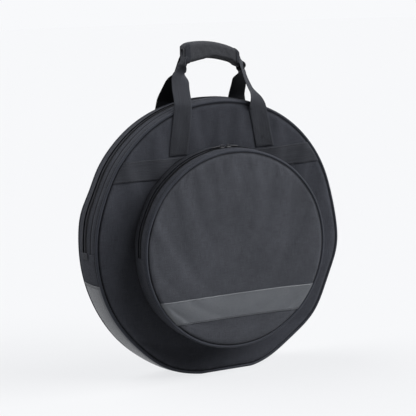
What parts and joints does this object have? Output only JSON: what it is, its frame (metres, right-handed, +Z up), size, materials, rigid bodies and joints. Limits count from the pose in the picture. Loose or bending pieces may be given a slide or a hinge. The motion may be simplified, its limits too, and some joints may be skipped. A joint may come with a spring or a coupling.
{
  "type": "cymbal bag",
  "caption": "Round padded nylon cymbal bag standing on its base, with a zipped main compartment, a round zipped front pocket, webbing handles and a wrapped grip.",
  "frame": {"origin": "middle of the flat under the main compartment that the bag stands on", "axes": "+Z up, -Y towards the pocket, +X to the right of someone who faces the pocket"},
  "size_m": [0.6374, 0.1702, 0.7644],
  "materials": {
    "pocket_nylon": "woven nylon, dark grey with a blue cast",
    "body_nylon": "woven nylon, black",
    "gusset_vinyl": "embossed vinyl, satin grey-black",
    "piping_black": "cord covered in coated cloth",
    "webbing": "black nylon webbing",
    "foam": "grey padding foam",
    "lining_cloth": "soft brushed lining",
    "zip_tape": "black coil zip",
    "zip_metal": "dull nickel",
    "wrap_nylon": "padded black nylon"
  },
  "bodies": {
    "shell": {"front_panel": "body_nylon", "front_foam": "foam", "front_lining": "lining_cloth", "front_piping": "piping_black", "front_zip_strip": "body_nylon", "main_zip_front_half": "zip_tape", "rear_panel_lower": "body_nylon", "rear_foam_lower": "foam", "rear_lining_lower": "lining_cloth", "rear_piping_lower": "piping_black", "side_gusset_left": "body_nylon", "side_gusset_right": "body_nylon", "zip_end_tab_left": "webbing", "zip_end_tab_right": "webbing", "base_gusset": "gusset_vinyl", "gusset_foam": "foam", "gusset_lining": "lining_cloth", "divider_front": "lining_cloth", "divider_rear": "lining_cloth", "front_band_left": "webbing", "front_band_right": "webbing", "front_anchor_left": "webbing", "front_anchor_right": "webbing", "pocket_zip_rear_strip": "body_nylon", "pocket_zip_rear_half": "zip_tape", "pocket_lower_gusset": "body_nylon", "pocket_face_lower": "pocket_nylon", "pocket_pad_lower": "foam", "pocket_piping_lower": "piping_black", "pocket_vinyl_strip": "gusset_vinyl"},
    "rear_flap": {"rear_panel_upper": "body_nylon", "rear_foam_upper": "foam", "rear_lining_upper": "lining_cloth", "rear_piping_upper": "piping_black", "rear_zip_strip": "body_nylon", "main_zip_rear_half": "zip_tape", "rear_band": "webbing", "rear_anchor_left": "webbing", "rear_anchor_right": "webbing"},
    "pocket_flap": {"pocket_face_upper": "pocket_nylon", "pocket_pad_upper": "foam", "pocket_piping_upper": "piping_black", "pocket_zip_front_strip": "body_nylon", "pocket_zip_front_half": "zip_tape"},
    "main_slider_left": {"main_slider_left": "zip_metal"},
    "main_slider_right": {"main_slider_right": "zip_metal"},
    "main_pull_left": {"main_pull_left": "zip_metal"},
    "main_pull_right": {"main_pull_right": "zip_metal"},
    "pocket_slider_left": {"pocket_slider_left": "zip_metal"},
    "pocket_slider_right": {"pocket_slider_right": "zip_metal"},
    "pocket_pull_left": {"pocket_pull_left": "zip_metal"},
    "pocket_pull_right": {"pocket_pull_right": "zip_metal"},
    "front_handle": {"front_handle_web": "webbing", "grip_wrap": "wrap_nylon"},
    "grip_flap": {"grip_flap": "wrap_nylon"},
    "rear_handle": {"rear_handle_web": "webbing"}
  },
  "joints": [
    {"name": "rear_flap_fold", "type": "hinge", "parent": "shell", "child": "rear_flap", "pos_m": [0, 0.0458, 0.30901], "axis": [-1, 0, 0], "range_deg": [0, 130], "deforming": ["rear_handle_web"]},
    {"name": "pocket_flap_fold", "type": "hinge", "parent": "shell", "child": "pocket_flap", "pos_m": [0, -0.1203, 0.29921], "axis": [1, 0, 0], "range_deg": [0, 150]},
    {"name": "main_zip_left_run", "type": "hinge", "parent": "shell", "child": "main_slider_left", "pos_m": [0, 0.003, 0.31451], "axis": [0, -1, 0], "range_deg": [0, 143]},
    {"name": "main_zip_right_run", "type": "hinge", "parent": "shell", "child": "main_slider_right", "pos_m": [0, 0.003, 0.31451], "axis": [0, 1, 0], "range_deg": [0, 33]},
    {"name": "main_pull_left_swing", "type": "hinge", "parent": "main_slider_left", "child": "main_pull_left", "pos_m": [0.25806, 0.003, 0.50693], "axis": [0, 1, 0], "range_deg": [0, 95]},
    {"name": "main_pull_right_swing", "type": "hinge", "parent": "main_slider_right", "child": "main_pull_right", "pos_m": [0.26908, 0.003, 0.49119], "axis": [0, -1, 0], "range_deg": [0, 95]},
    {"name": "pocket_zip_left_run", "type": "hinge", "parent": "shell", "child": "pocket_slider_left", "pos_m": [0, -0.082, 0.30121], "axis": [0, -1, 0], "range_deg": [0, 86]},
    {"name": "pocket_zip_right_run", "type": "hinge", "parent": "shell", "child": "pocket_slider_right", "pos_m": [0, -0.082, 0.30121], "axis": [0, 1, 0], "range_deg": [0, 86]},
    {"name": "pocket_pull_left_swing", "type": "hinge", "parent": "pocket_slider_left", "child": "pocket_pull_left", "pos_m": [-0.00965, -0.082, 0.53451], "axis": [0, 1, 0], "range_deg": [0, 95]},
    {"name": "pocket_pull_right_swing", "type": "hinge", "parent": "pocket_slider_right", "child": "pocket_pull_right", "pos_m": [0.00965, -0.082, 0.53451], "axis": [0, -1, 0], "range_deg": [0, 95]},
    {"name": "front_handle_fold", "type": "hinge", "parent": "shell", "child": "front_handle", "pos_m": [0, -0.0481, 0.60289], "axis": [1, 0, 0], "range_deg": [0, 140], "deforming": ["rear_handle_web"]},
    {"name": "grip_flap_fold", "type": "hinge", "parent": "front_handle", "child": "grip_flap", "pos_m": [0, 0.01175, 0.70481], "axis": [-1, 0, 0], "range_deg": [0, 120]},
    {"name": "rear_handle_fold", "type": "hinge", "parent": "rear_flap", "child": "rear_handle", "pos_m": [0, 0.0481, 0.60289], "axis": [-1, 0, 0], "range_deg": [0, 150], "deforming": ["rear_handle_web"]}
  ]
}
